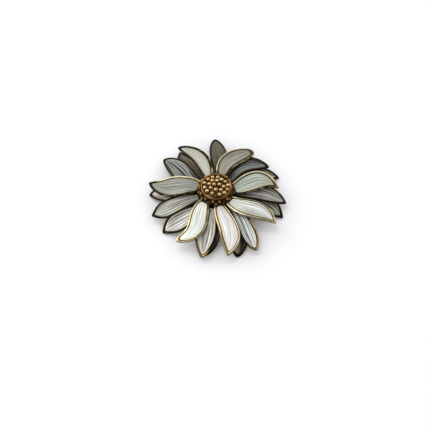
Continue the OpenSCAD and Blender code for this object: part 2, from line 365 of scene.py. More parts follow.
# The yellow is a painted reflection of the gilt rim on the glass next to it. The dark line along
# the rim is partly dirt and partly painted shade.
RIM_REFLECTION_TINT = "eedeaa"
RIM_DIRT_AND_SHADE = "2a1e08"


def stretched_noise(tree, place, seed, along, across, scale=1.0, detail=1):
    """Noise drawn out along the petal. The larger across is, the finer are its lines."""
    offset = add_node(tree, "ShaderNodeCombineXYZ")
    tree.links.new(seed, offset.inputs["Z"])
    shift = add_node(tree, "ShaderNodeMapping")
    tree.links.new(place, shift.inputs["Vector"])
    tree.links.new(offset.outputs[0], shift.inputs["Location"])
    shift.inputs["Scale"].default_value = (along, across, 1)
    return add_noise(tree, shift.outputs[0], scale, detail)


def glass_depth(tree, given, place, lines, hair, cloud):
    """How dark the glass looks, from 0 to 1. It is thicker in grooves and engraved lines. It also
    carries painted shade on one side and at the root, and painted light on the other side and
    towards the tip, as much as the petal's row asks for."""
    along, across, _ = add_split(tree, place)
    cut = add_maths(tree, "POWER", add_stored(tree, "groove"), given["Thin"])
    cut = add_maths(tree, "MULTIPLY", cut, 0.55)
    fine = add_maths(tree, "ADD", add_range(tree, lines, 0.36, 0.64, 0.0, 0.4),
                     add_range(tree, hair, 0.35, 0.65, 0.0, 0.12))
    streak = add_range(tree, add_maths(tree, "ADD", cut, fine), 0.15, 0.68, -0.5, 0.5)
    # The next two terms paint shade on one side of the petal and at its root, and light on the
    # other side and towards the tip.
    aside = add_range(tree, across, 0, 1, -1, 1)
    root_shade = add_range(tree, along, 0, 1, 0.5, -0.5)
    depth = add_range(tree, cloud, 0.35, 0.65, 0.43, 0.57)
    for part, strength in ((streak, "Lines"), (aside, "Side"), (root_shade, "Root")):
        depth = add_maths(tree, "ADD", depth, add_maths(tree, "MULTIPLY", part, given[strength]))
    return add_range(tree, depth, 0, 1)


def add_sheen(tree, glass, drift, pearl):
    """A drift of green and pink over the glass."""
    sheen = add_mix(tree, add_range(tree, drift, 0.35, 0.65), tone(GREEN_SHEEN), tone(PINK_SHEEN))
    return add_mix(tree, pearl, glass, add_mix(tree, 1.0, glass, sheen, "MULTIPLY"))


def add_dirt(tree, glass, width):
    """Paints a yellow reflection of the gilt rim on the glass near it, and draws a dark line of
    this width in mm along the rim, partly dirt and partly painted shade.
    """
    inland = add_stored(tree, "inland")
    rim_reflected = add_mix(tree, 1.0, glass, tone(RIM_REFLECTION_TINT), "MULTIPLY")
    glass = add_mix(tree, add_range(tree, inland, 0.3, 0.8, 0.7, 0.0), glass, rim_reflected)
    full = add_maths(tree, "MULTIPLY", width, 0.55)
    dirt_and_shade = add_range(tree, inland, full, width, 1.0, 0.0, smooth=True)
    return add_mix(tree, dirt_and_shade, glass, tone(RIM_DIRT_AND_SHADE))


def enamel_group():
    tree, given, out = make_group(
        "fired enamel",
        [("Light", COLOUR, (0.8, 0.8, 0.8)), ("Deep", COLOUR, (0.1, 0.1, 0.1)),
         ("Lines", FLOAT, 0.5), ("Thin", FLOAT, 1.0), ("Side", FLOAT, 0.0),
         ("Root", FLOAT, 0.0), ("Edge", FLOAT, 0.3), ("Pearl", FLOAT, 0.2),
         ("Seed", FLOAT, 0.0)],
        [("Color", COLOUR), ("Roughness", FLOAT), ("Height", FLOAT)])
    place = add_node(tree, "ShaderNodeUVMap", uv_map="petal").outputs["UV"]
    lines = stretched_noise(tree, place, given["Seed"], 1.3, 9)
    hair = stretched_noise(tree, place, given["Seed"], 1.6, 30)
    drift = stretched_noise(tree, place, given["Seed"], 2.2, 1.6)
    cloud = stretched_noise(tree, place, given["Seed"], 5.0, 3.0, scale=1.3, detail=3)
    depth = glass_depth(tree, given, place, lines, hair, cloud)
    glass = add_mix(tree, depth, given["Light"], given["Deep"])
    glass = add_sheen(tree, glass, drift, given["Pearl"])
    plug(tree, add_dirt(tree, glass, given["Edge"]), out["Color"])
    plug(tree, add_range(tree, cloud, 0.3, 0.8, 0.38, 0.5), out["Roughness"])
    plug(tree, lines, out["Height"])
    return tree


FIRED_ENAMEL = enamel_group()


def enamel_material(name, finish, pearl, seed):
    material, tree, shader = new_material(name)
    made = place_group(tree, FIRED_ENAMEL, Light=tone(finish.light), Deep=tone(finish.deep),
                       Lines=finish.lines, Thin=finish.thin, Side=finish.side,
                       Root=finish.root, Edge=finish.edge, Pearl=pearl, Seed=seed)
    plug(tree, made["Color"], shader["Base Color"])
    plug(tree, made["Roughness"], shader["Roughness"])
    add_bump(tree, made["Height"], LINE_DEPTH, shader["Normal"])
    shader["Metallic"].default_value = 0.12
    shader["Coat Weight"].default_value = 0.35
    shader["Coat Roughness"].default_value = 0.08
    return material


print("inputs of the enamel:", [s.name for s in FIRED_ENAMEL.interface.items_tree
                                if s.in_out == "INPUT"])

# %% [markdown]
# ## The shape of a petal
# A real plate is stamped, and its petals are then bent by hand, so no two are alike. Each
# could be drawn point by point. Here each is a row of eight numbers instead: the angle of
# its tip, how far it reaches, how it bows and waves sideways, how wide it is and where
# along it that is, how blunt its tip is, and how far its enamel is moved to the left, as
# seen from the root. The rest are formulas. The middle line is a half wave plus a full
# wave, the width swells and closes to a point, and a tier falls away from the hub like a
# shallow umbrella. All but the last of the numbers are also the construction's, so these
# meshes lie on the solids that they dress. Most of them were fitted by least squares to
# traced outlines, then rounded, and the others were set one by one.

# %% Petals and tiers
Petal = namedtuple("Petal", "angle reach bow wave width widest blunt skew", defaults=(0.0,))
Tier = namedtuple("Tier", "name root_z tip_z span arch droop narrow rim")

UPPER = [
    Petal(5.2, 21.4, 2.4, -1.2, 7.8, 0.57, 0.85, -0.18),
    Petal(52.6, 21.4, 3.8, 0.2, 6.5, 0.58, 0.40),
    Petal(124.5, 23.5, -2.95, 0.3, 5.6, 0.50, 0.50, 0.22),
    Petal(168.3, 23.6, 0.8, -0.9, 8.15, 0.55, 0.78, 0.15),
    Petal(233.5, 22.5, 2.1, -1.5, 6.4, 0.50, 0.45),
    Petal(279.0, 24.0, 1.5, -0.7, 6.7, 0.65, 0.78, 0.1),
    Petal(330.2, 23.1, -0.5, -1.0, 6.95, 0.57, 0.80, 0.3),
]
MIDDLE = [
    Petal(32.8, 21.9, 4.7, -0.5, 6.4, 0.58, 0.60),
    Petal(91.0, 24.1, -1.4, -0.3, 6.2, 0.58, 0.55),
    Petal(139.6, 24.1, 1.4, 0.8, 7.5, 0.57, 0.60),
    Petal(199.3, 23.1, -0.4, -0.2, 6.65, 0.74, 0.80),
    Petal(258.5, 24.0, -0.5, -0.2, 7.2, 0.58, 0.65),
    Petal(302.9, 24.6, 1.6, 0.3, 5.6, 0.72, 0.57, -0.15),
    Petal(354.0, 24.0, 2.0, -0.3, 6.6, 0.62, 0.72),
]
LOWER = [
    Petal(22.8, 23.8, 2.2, -1.0, 6.9, 0.59, 0.70),
    Petal(122.3, 24.0, 0.9, -0.6, 6.3, 0.58, 0.85),
    Petal(174.2, 23.2, 0.0, 0.2, 7.8, 0.62, 0.70),
    Petal(215.3, 22.1, 1.1, 0.5, 7.5, 0.68, 0.75),
    Petal(257.0, 22.6, 1.0, -0.1, 7.6, 0.72, 0.70),
    Petal(287.5, 23.2, 2.0, -0.5, 7.6, 0.64, 0.62),
    Petal(343.0, 23.7, 2.0, -0.5, 7.8, 0.64, 0.80),
]
UPPER_FORM = Tier("upper", 7.0, 4.1, 24.2, 0.9, 0.32, 0.30, 0.65)
MIDDLE_FORM = Tier("middle", 5.6, 2.3, 24.8, 0.6, -0.12, 0.25, 0.45)
LOWER_FORM = Tier("lower", 4.2, 0.38, 0, 0.5, -0.12, 0.25, 0.45)

FLOOR_T = 0.38
RIM_H = 0.42
GAP = 0.05
CENTRE_R = 6.1
SPINE_R = 3.0
FLAT_R = 6.0
FALL_POWER = 1.5
TRAY_R = 4.2
FILL_R = CENTRE_R + 0.1
BLUNT_RIM = 0.65
ROOT_CORNER = 0.9
ROOT_SHARE = 0.55
INSET_FADE = 0.3


def place_at(petal, radius):
    return (radius - SPINE_R) / (petal.reach - SPINE_R)


def tip_rim(petal, tier):
    """Length of metal between the enamel and the tip, more where the tip is sharp."""
    return tier.rim + BLUNT_RIM * petal.blunt


def spine(petal, t):
    """A point of the middle line and its direction, before the petal is turned."""
    length = petal.reach - SPINE_R
    x = SPINE_R + length * t
    y = petal.bow * math.sin(math.pi * t) + petal.wave * math.sin(2 * math.pi * t)
    slope = petal.bow * math.cos(math.pi * t) + 2 * petal.wave * math.cos(2 * math.pi * t)
    return Vector((x, y)), Vector((length, math.pi * slope)).normalized()


def closing(petal, t, end):
    """How the width closes from the widest place to the tip."""
    turn = math.pi / 2 * (t - petal.widest) / (end - petal.widest)
    return max(0.0, math.cos(min(turn, math.pi / 2))) ** petal.blunt


def outer_half(petal, tier, t):
    """Half width of the whole petal."""
    if t >= petal.widest:
        return petal.width / 2 * closing(petal, t, 1)
    swell = math.cos(math.pi / 2 * (petal.widest - t) / petal.widest)
    return petal.width / 2 * (tier.narrow + (1 - tier.narrow) * swell)


def inner_half(petal, tier, t, end):
    """Half width inside the rim, for enamel that ends at the place t = end."""
    if t >= petal.widest:
        return (petal.width / 2 - tier.rim) * closing(petal, t, end)
    return outer_half(petal, tier, t) - tier.rim


def fill_place(petal, tier, along, gap):
    """A place of the enamel's outline: t, its half width and how far it lies aside. The
    root end is rounded, and gap draws the outline in all round."""
    start = place_at(petal, FILL_R + gap)
    end = place_at(petal, petal.reach - tip_rim(petal, tier) - gap)
    t = start + (end - start) * along
    from_root = (t - start) * (petal.reach - SPINE_R)
    corner = math.sqrt(1 - (1 - min(1.0, from_root / ROOT_CORNER)) ** 2)
    inside = inner_half(petal, tier, t, end)
    half = inside - gap * min(1.0, inside / INSET_FADE)
    aside = petal.skew * max(0.0, inside) / (petal.width / 2 - tier.rim)
    return t, half * (ROOT_SHARE + (1 - ROOT_SHARE) * corner), aside


def floor_z(petal, tier, t, off):
    """Height of the tray floor, which falls outwards and droops at its edges."""
    span = tier.span or petal.reach
    u = max(0.0, (spine(petal, t)[0].length - FLAT_R) / (span - FLAT_R))
    fall = (tier.tip_z - tier.root_z) * u ** FALL_POWER
    drop = (2 * off / petal.width) ** 2
    return tier.root_z + fall + tier.arch * math.sin(math.pi * u) - tier.droop * drop


def petal_point(petal, tier, along, across, inset, high, gap=0.0):
    """A point of a petal. along runs from root to tip and across from -1 to 1, inset is
    0 on the outer outline and 1 on the enamel's, and high is above the tray floor."""
    root = place_at(petal, TRAY_R)
    outer_t = root + (1 - root) * along
    outer_off = outer_half(petal, tier, outer_t)
    inner_t, inner_off, aside = fill_place(petal, tier, along, gap)
    t = outer_t + (inner_t - outer_t) * inset
    off = across * (outer_off + (inner_off - outer_off) * inset) + aside * inset
    point, direction = spine(petal, t)
    place = Vector((point.x - direction.y * off, point.y + direction.x * off,
                    floor_z(petal, tier, t, off) + high))
    return Matrix.Rotation(math.radians(petal.angle), 3, "Z") @ place * MM


front_tip = petal_point(UPPER[5], UPPER_FORM, 1, 0, 0, RIM_H)
print("tip of the front petal in mm:", [round(c / MM, 2) for c in front_tip])

# %% [markdown]
# ## A finish and painted shade for every petal
# Enamel never fires twice to the same colour, and no rim is rubbed like the next. Chance
# could choose the colours, but then the dark petals would lie anywhere. So there is one
# row for each petal, in the order of the rows above, set one by one until the mean colour of
# the rendered petal came near the photo's. The colours are partly the enamel's own and partly
# painted shade and light: petals that tilt away from the light or lie under others are given
# darker glass. Light is the colour of thin glass and deep that of thick glass. Rub says how
# bright the rim is: on its left and right as seen from the root, at its tip, and beside the
# dome as a share of farther out. That is partly wear and partly painted light and shade, set
# for how each side faces the light. Lines is how strongly the grooves show, and a low thin
# makes them wider. A side above 0 paints shade on the left half and light on the right half,
# and one below 0 the other way round. Root paints shade on the end at the dome and light
# towards the tip, and the other way round below 0. Fold is the place of one sharp crease, as
# a share of the half width, and 0 leaves it out. Edge is the width in millimetres of the dark
# line along the rim, partly dirt and partly painted shade.

# %% Finishes
# A rim's rub is partly wear and partly painted light and shade, set for each side by how it faces
# the light.
Rub = namedtuple("Rub", "left tip right root", defaults=(0.6,))
FinishAndShade = namedtuple("FinishAndShade", "light deep rub lines thin side root fold edge",
                    defaults=(Rub(0.3, 0.3, 0.3), 1.0, 0.8, 0.0, 0.0, 0.0, 0.34))
FINISH_AND_SHADE = {
    "upper": [
        # The far and side petals have greyer glass than the near ones, and that is partly painted
        # shade.
        FinishAndShade("bac0b4", "828a7e", Rub(1.0, 0.45, 0.42, 0.6), edge=0.36),
        FinishAndShade("a2a394", "606157", Rub(0.9, 0.42, 0.5, 0.3), root=-0.2),
        FinishAndShade("c2c2b7", "8e8e86", Rub(0.25, 0.05, 0.36, 1.5), root=-0.5),
        FinishAndShade("a4a59b", "62625a", Rub(0.31, 0.15, 1.0, 0.75)),
        FinishAndShade("f6f7f4", "b9bcba", Rub(0.5, 0.6, 0.8, 1.0), edge=0.17),
        FinishAndShade("ececea", "b4b6b0", Rub(1.0, 0.85, 0.7, 0.8), root=0.35, edge=0.17),
        FinishAndShade("e9ece8", "969c98", Rub(0.85, 0.9, 1.0, 0.9), edge=0.24)],
    "middle": [
        # The first two middle petals lie under upper ones, and their dark glass is partly painted
        # shade.
        FinishAndShade("787c7a", "160e08", Rub(0.55, 0.2, 0.08), lines=2.0, thin=0.5, side=1.2, root=1.7),
        FinishAndShade("5a563f", "120b04", Rub(0.2, 0.3, 0.45), lines=1.2, root=1.5, edge=0.5),
        FinishAndShade("989892", "1c1c1a", Rub(0.1, 0.15, 0.3), lines=1.8, thin=0.4, side=0.1, root=0.2),
        FinishAndShade("bebfb7", "3a3832", Rub(0.3, 0.3, 0.45), side=-0.2, root=0.2),
        FinishAndShade("e2dfd8", "605c58", Rub(0.3, 1.0, 0.8), side=-0.1, root=0.3, fold=-0.1),
        FinishAndShade("e6eae8", "444446", Rub(1.0, 1.0, 0.3), side=0.05, root=0.2, fold=-0.15),
        FinishAndShade("aeb0aa", "44393c", Rub(0.5, 0.4, 0.2), side=0.1, root=0.35)],
    "lower": [
        # The second and sixth lower petals have a painted shadow on one half. The fifth lies under
        # the front middle petal and is dark for the shade there.
        FinishAndShade("c4b492", "3e3624"),
        FinishAndShade("8c7662", "140c08", lines=1.8, thin=0.5, side=0.9, root=0.3),
        FinishAndShade("e6e4da", "84827a"),
        FinishAndShade("f4f4ee", "70706a", Rub(0.15, 0.4, 0.3), lines=1.2, side=0.4),
        FinishAndShade("4a4438", "16120c", root=0.2),
        FinishAndShade("928c78", "0c0a06", side=0.95),
        FinishAndShade("b8bcac", "181c14", lines=1.3, thin=0.7)],
}
print("finishes:", {name: len(rows) for name, rows in FINISH_AND_SHADE.items()})

# %% [markdown]
# ## Petal trays
# A tray is sheet metal with a raised edge, like a tiny baking tin. One way to model it
# is to inset a face and push it down, but a petal twists too much for even steps. So the
# sheet starts as a plain grid that is laid onto the petal's underside, and its border is
# extruded again and again along the section of the rim: up the wall, which leans in at
# its foot, over a half-round top, and down inside. Each ring knows how much it is rubbed,
# which also holds painted light and shade for the side it is on, and stores that as wear.
# The back lies against cloth, so it is worn but for its border.

# %% Grids that remember their place
TRAY_LONG = 40
TRAY_CROSS = 10
WELD = 0.002 * MM


def ease(value, lo, hi):
    """Rises smoothly from 0 at lo to 1 at hi."""
    share = min(1.0, max(0.0, (value - lo) / (hi - lo)))
    return share * share * (3 - 2 * share)


def new_petal_mesh():
    """An empty mesh whose corners can store numbers for the pattern, the finish and painted light
    and shade.
    """
    bm = bmesh.new()
    for name in ("along", "across", "wear", "groove", "inland"):
        bm.verts.layers.float.new(name)
    return bm


def numbers(bm, *names):
    """The layers of stored numbers with these names."""
    layers = [bm.verts.layers.float[name] for name in names]
    return layers if len(layers) > 1 else layers[0]


def new_corners(made):
    return [item for item in made if isinstance(item, bmesh.types.BMVert)]


def add_sheet(bm, long_cuts, cross_cuts):
    """A grid that stores its share of the length and of the width, closer at both ends."""
    sheet = bmesh.ops.create_grid(bm, x_segments=long_cuts, y_segments=cross_cuts, size=0.5)
    along, across = numbers(bm, "along", "across")
    for vert in sheet["verts"]:
        vert[along] = 0.5 + 0.5 * math.sin(math.pi * vert.co.x)
        vert[across] = 2 * vert.co.y
    return sheet["verts"]


def lay(bm, verts, petal, tier, inset, high, gap=0.0):
    """Moves the corners of a grid to their places on the petal."""
    along, across = numbers(bm, "along", "across")
    for vert in verts:
        vert.co = petal_point(petal, tier, vert[along], vert[across], inset, high, gap)


def extrude_border(bm, edges):
    """Extrudes a loop of edges and gives back its new corners and its new edges."""
    made = bmesh.ops.extrude_edge_only(bm, edges=edges)["geom"]
    return new_corners(made), [item for item in made if isinstance(item, bmesh.types.BMEdge)]


print("a tray starts as a grid of", (TRAY_LONG + 1) * (TRAY_CROSS + 1), "corners")

# %% One tray
RIM_STEPS = 8
RIM_SHOULDER = 0.5
WALL_LEAN = 0.45
BACK_WEAR = 0.3
BACK_RUBBED = 0.38


def rim_section():
    """Rows of inset, height and share of the rubbing, from the foot of the wall over the
    rim to the floor."""
    rows = [(0.5 * WALL_LEAN, -0.1 * FLOOR_T, 0.0), (0.03, 0.36 * RIM_H, 0.1)]
    for i in range(RIM_STEPS + 1):
        turn = math.pi * i / RIM_STEPS
        rise = RIM_SHOULDER + (1 - RIM_SHOULDER) * math.sin(turn)
        rubbed = 0.25 + 0.75 * ease(math.sin(turn), 0.1, 0.7)
        # The inner slope is left dark: patina in the groove beside the enamel, and painted shade
        # of that groove.
        inner = 1 - ease(turn, 0.6 * math.pi, 0.85 * math.pi)
        rows.append((0.5 - 0.5 * math.cos(turn), RIM_H * rise, rubbed * inner))
    return rows + [(1.0, 0.0, 0.0)]


def rub_at(rub, along, across):
    """How much the rim is rubbed at a place of the border, together with painted light and shade
    set for each side, the tip and the end at the dome.
    """
    side = rub.left if across > 0 else rub.right
    outwards = side + (rub.tip - side) * ease(along, 0.84, 0.96)
    return outwards * (rub.root + (1 - rub.root) * ease(along, 0, 0.4))


def add_back(bm, petal, tier):
    """The underside of the tray. Gives back the edges of its border."""
    along, across, wear = numbers(bm, "along", "across", "wear")
    back = add_sheet(bm, TRAY_LONG, TRAY_CROSS)
    for vert in back:
        lean = WALL_LEAN * ease(vert[along], 0, 0.03)
        vert.co = petal_point(petal, tier, vert[along], vert[across], lean, -FLOOR_T)
        from_border = min(1 - abs(vert[across]), 4 * (1 - vert[along]))
        vert[wear] = BACK_WEAR + BACK_RUBBED * ease(from_border, 0, 0.35)
    bmesh.ops.remove_doubles(bm, verts=back, dist=WELD)
    return list({e for v in back if v.is_valid for e in v.link_edges if e.is_boundary})


def add_tray(bm, petal, tier, rub):
    along, across, wear = numbers(bm, "along", "across", "wear")
    edges = add_back(bm, petal, tier)
    for inset, high, share in rim_section():
        ring, edges = extrude_border(bm, edges)
        lay(bm, ring, petal, tier, inset, high)
        for vert in ring:
            # The rim's wear here also carries the painted light and shade of its side.
            vert[wear] = share * rub_at(rub, vert[along], vert[across])
    floor = add_sheet(bm, TRAY_LONG, TRAY_CROSS)
    lay(bm, floor, petal, tier, 1, 0)
    bmesh.ops.remove_doubles(bm, verts=floor + ring, dist=WELD)


print("rings from the foot of a wall to the floor:", len(rim_section()))

# %% [markdown]
# ## Plates with their hubs
# The seven trays of a plate meet in a round hub, and a short boss below it keeps the plate
# off the next one. Both are turned shapes with one bore, so one profile is spun round the
# axis. Stacked cylinders would need their holes cut and their edges rounded afterwards.

# %% Plates with their hubs
HUB_R = 5.5
HUB_UNDER = 0.2
HUB_OVER = 0.12
HUB_EDGE = 0.15
HUB_WEAR = 0.3
BOSS_R = 2.8
BORE_R = 1.45
HUB_SEGMENTS = 64
SEAM_WELD = 0.0005 * MM


def spin_points(bm, points, axis, centre, rubbed, segments, closed=False):
    """Spins a line of points in mm round an axis, and stores its wear."""
    wear = numbers(bm, "wear")
    verts = [bm.verts.new((x * MM, y * MM, z * MM)) for x, y, z in points]
    pairs = list(zip(verts, verts[1:])) + ([(verts[-1], verts[0])] if closed else [])
    edges = [bm.edges.new(pair) for pair in pairs]
    for vert in verts:
        vert[wear] = rubbed
    bmesh.ops.spin(bm, geom=verts + edges, cent=centre * MM, axis=axis,
                   angle=2 * math.pi, steps=segments, use_merge=True)
    bmesh.ops.remove_doubles(bm, verts=bm.verts, dist=SEAM_WELD)


def spin_shell(bm, profile, rubbed, segments, closed=False):
    """Spins a profile of radius and height round the flower's own axis."""
    points = [(r, 0, z) for r, z in profile]
    spin_points(bm, points, (0, 0, 1), Vector((0, 0, 0)), rubbed, segments, closed)


def add_hub(bm, tier, boss_h):
    z = tier.root_z - FLOOR_T - HUB_UNDER
    top = tier.root_z + HUB_OVER
    profile = [(BORE_R, top), (HUB_R - HUB_EDGE, top), (HUB_R, top - HUB_EDGE), (HUB_R, z)]
    if boss_h > 0:
        profile += [(BOSS_R, z), (BOSS_R, z - boss_h)]
    profile.append((BORE_R, z - boss_h))
    spin_shell(bm, profile, HUB_WEAR, HUB_SEGMENTS, closed=True)


def boss_between(over, under):
    """Length of the boss between two plates."""
    return over.root_z - FLOOR_T - HUB_UNDER - under.root_z - HUB_OVER - GAP


def finish_piece(bm, name, material, slot, *nodes, sharp=50):
    """Makes the mesh a smooth-shaded piece that rides on the brooch and replaces nodes."""
    bmesh.ops.recalc_face_normals(bm, faces=bm.faces)
    mesh = bpy.data.meshes.new(name)
    bm.to_mesh(mesh)
    bm.free()
    mesh.shade_smooth()
    mesh.set_sharp_from_angle(angle=math.radians(sharp))
    mesh.materials.append(material)
    piece = bpy.data.objects.new(name, mesh)
    bpy.context.scene.collection.objects.link(piece)
    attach(piece, "root")
    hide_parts(*nodes)
    return piece


def make_plate(petals, tier, gilt, boss_h):
    bm = new_petal_mesh()
    for petal, finish in zip(petals, FINISH_AND_SHADE[tier.name]):
        add_tray(bm, petal, tier, finish.rub)
    add_hub(bm, tier, boss_h)
    piece = finish_piece(bm, tier.name + "_plate", gilt, "gilt_petals", tier.name + "_petals")
    print(piece.name, len(piece.data.polygons), "faces")


make_plate(UPPER, UPPER_FORM, RIM_GILT, boss_between(UPPER_FORM, MIDDLE_FORM))
make_plate(MIDDLE, MIDDLE_FORM, DARK_GILT, boss_between(MIDDLE_FORM, LOWER_FORM))
make_plate(LOWER, LOWER_FORM, DARK_GILT, 0)

# %% [markdown]
# ## The enamel in each tray
# The fill follows its tray's inner outline with a hair of room. Its upper face is one
# fine grid whose heights come from a formula: round ribs side by side with narrow
# grooves between them, which run with the petal and fade out before the rim. The ribs
# could be carved one by one, but a formula keeps them apart and lets each differ. White
# petals have shallow ribs and swell a little in the middle, and grey ones have deeper
# ribs and are folded along the middle line like a leaf.

# %% Ribs and grooves
RIB_CUTS = 8
ENAMEL_LONG = 44
TIP_FADE = 0.06
THINNEST = 0.08
EDGE_SUNK = 0.05
SWAY = 0.05
ROOT_INLAND = 0.1
EnamelForm = namedtuple("EnamelForm", "ribs relief swell low pearl slot")
WHITE_FORM = EnamelForm(6, 0.06, 0.08, 0.17, 0.35, "white_enamel")
GREY_FORM = EnamelForm(6, 0.13, -0.12, 0.13, 0.2, "grey_enamel")


def rib_wave(across, ribs):
    """0 on the back of a rib and 1 at the bottom of a groove."""
    return 1 - abs(math.sin(math.pi * ribs * (0.5 + 0.5 * across)))


def edge_distance(petal, tier, along, across):
    """Distance from the enamel's edge in mm, with a little more at the dome."""
    start = place_at(petal, FILL_R)
    end = place_at(petal, petal.reach - tip_rim(petal, tier))
    t = start + (end - start) * along
    length = (end - start) * (petal.reach - SPINE_R)
    half = max(0.0, inner_half(petal, tier, t, end))
    return min((1 - abs(across)) * half, length * along + ROOT_INLAND, length * (1 - along))


def enamel_top(petal, tier, form, along, across, strengths, fold):
    """Height of the enamel, how deep the groove is there, and how far the border is."""
    inland = edge_distance(petal, tier, along, across)
    bulge = 1 - across * across
    drift = across + SWAY * math.sin(7 * along + 40 * strengths[0]) * bulge
    rib = int((0.5 + 0.5 * drift) * form.ribs + 0.5)
    groove = rib_wave(drift, form.ribs) * strengths[rib]
    if fold:
        groove = max(groove, 1 - ease(abs(drift - fold), 0.02, 0.16))
    inside = ease(inland, 0.1, 0.5) * ease(along, 0.0, 0.07)
    groove *= inside * (1 - 0.7 * ease(along, 0.85, 1.0))
    dome = form.swell * bulge * min(1.0, (1 - along) / TIP_FADE)
    sunk = EDGE_SUNK * (1 - ease(inland, 0.0, 0.3))
    high = RIM_H - form.low + dome - form.relief * groove - sunk
    return max(high, THINNEST), groove, inland


def make_enamel(petal, tier, number, form):
    bm = new_petal_mesh()
    along, across, groove, inland = numbers(bm, "along", "across", "groove", "inland")
    chance = random.Random(tier.name + str(number))
    strengths = [chance.uniform(0.15, 1.0) for _ in range(form.ribs + 2)]
    finish = FINISH_AND_SHADE[tier.name][number - 1]
    face = add_sheet(bm, ENAMEL_LONG, form.ribs * RIB_CUTS)
    made = bmesh.ops.extrude_face_region(bm, geom=bm.faces[:], use_keep_orig=True)["geom"]
    base = new_corners(made)
    for vert in face:
        high, vert[groove], vert[inland] = enamel_top(petal, tier, form, vert[along],
                                                      vert[across], strengths, finish.fold)
        vert.co = petal_point(petal, tier, vert[along], vert[across], 1, high, GAP)
    lay(bm, base, petal, tier, 1, GAP, GAP)
    for vert in base:
        vert[inland] = 0.0
    uv = bm.loops.layers.uv.new("petal")
    for corner in (c for f in bm.faces for c in f.loops):
        corner[uv].uv = (corner.vert[along], 0.5 + 0.5 * corner.vert[across])
    bmesh.ops.remove_doubles(bm, verts=bm.verts, dist=WELD)
    name = f"{tier.name}_fill_{number}"
    material = enamel_material(name + "_glass", finish, form.pearl, chance.uniform(0, 50))
    return finish_piece(bm, name, material, form.slot, f"{tier.name}_enamel_{number}", sharp=70)


for petals, tier, form in ((UPPER, UPPER_FORM, WHITE_FORM), (MIDDLE, MIDDLE_FORM, GREY_FORM),
                           (LOWER, LOWER_FORM, GREY_FORM)):
    fills = [make_enamel(petal, tier, i + 1, form) for i, petal in enumerate(petals)]
    print(tier.name, "fills:", sum(len(f.data.polygons) for f in fills), "faces")

# %% [markdown]
# ## The beaded centre
# The middle of the daisy is a stamped dome with a fine wire soldered round its top and
# tiny balls of metal, called granulation, inside the wire and in two rows below it. The
# dome, the wire and the stud are turned shapes, so a profile is spun round the axis. The
# beads could be one bumpy surface, but real ones stand apart and shade each other. So they
# are small spheres, each a little different, as beads made by hand are.

# %% Centre
RING_R = 5.0
RING_RISE = 2.2
CAP_RISE = 0.55
CENTRE_Z = UPPER_FORM.root_z + RIM_H + 0.05
RING_Z = CENTRE_Z + RING_RISE
SHELL_T = 0.8
SHELL_STEPS = 12
SHELL_WEAR = 0.14
CAP_WEAR = 0.16
CAP_RUBBED = 0.12
DOME_SEGMENTS = 96
WIRE_D = 0.4
WIRE_OUT = 0.056
WIRE_SIDES = 12
WIRE_WEAR = 0.43
STUD_R = 1.4
STUD_FOOT_Z = 2.2
STUD_WEAR = 0.5
STUD_SEGMENTS = 48
RIVET_R = 2.1
RIVET_T = 0.3
RIVET_EDGE = 0.1
BEAD_D = 1.45
BEAD_SUNK = 0.15
BEAD_FOOT = 0.24
CAP_BEADS = (
    (-1.2, 3.5), (0.6, 3.5), (-2.7, 2.7), (1.8, 2.5), (-1.3, 2.0), (0.3, 2.0), (3.1, 1.7),
    (-3.8, 1.25), (-2.3, 0.7), (-0.7, 0.5), (1.1, 0.5), (4.0, 0.4), (2.5, -0.3), (-3.8, -0.5),
    (-1.8, -0.8), (3.8, -1.25), (-0.1, -1.5), (1.6, -1.6), (-3.0, -1.9), (2.8, -2.6),
    (-1.3, -2.9), (1.1, -3.3))
FlankRow = namedtuple("FlankRow", "rise count shift")
FLANK_ROWS = (FlankRow(0.62, 14, 0.0), FlankRow(0.24, 14, 0.5))
FLANK_BEAD_D = 0.75 * BEAD_D
FLANK_WEAR = 0.4
UP = Vector((0, 0, 1))


def cap_z(r):
    return RING_Z + CAP_RISE * (1 - (r / RING_R) ** 2)


def flank_r(s):
    """Radius of the dome's flank at a share of its height."""
    return CENTRE_R - (CENTRE_R - RING_R) * (1 - math.cos(math.pi / 2 * s))


def add_bead(bm, place, diameter, rubbed, out):
    """A bead that is rubbed bright where it points out, which also paints part of its highlight,
    and stays dark at its foot.
    """
    wear = numbers(bm, "wear")
    made = bmesh.ops.create_uvsphere(bm, u_segments=20, v_segments=12, radius=diameter / 2 * MM,
                                     matrix=Matrix.Translation(place * MM))
    for vert in made["verts"]:
        rise = (vert.co / MM - place).dot(out) / (diameter / 2)
        vert[wear] = rubbed * (BEAD_FOOT + (1 - BEAD_FOOT) * ease(rise, -0.1, 0.85))


def add_cap_beads(bm, chance):
    for x, y in CAP_BEADS:
        place = Vector((x, y, cap_z(math.hypot(x, y)) - BEAD_SUNK))
        diameter = BEAD_D * chance.uniform(0.94, 1.06)
        add_bead(bm, place, diameter, chance.uniform(0.86, 1.06), UP)


def add_flank_beads(bm, chance):
    for row in FLANK_ROWS:
        for i in range(row.count):
            turn = 2 * math.pi * (i + row.shift) / row.count + chance.uniform(-0.03, 0.03)
            out = Vector((math.cos(turn), math.sin(turn), 0))
            place = out * (flank_r(row.rise) - BEAD_SUNK)
            place.z = CENTRE_Z + RING_RISE * row.rise
            diameter = FLANK_BEAD_D * chance.uniform(0.92, 1.05)
            add_bead(bm, place, diameter, FLANK_WEAR, (out + 0.8 * UP).normalized())


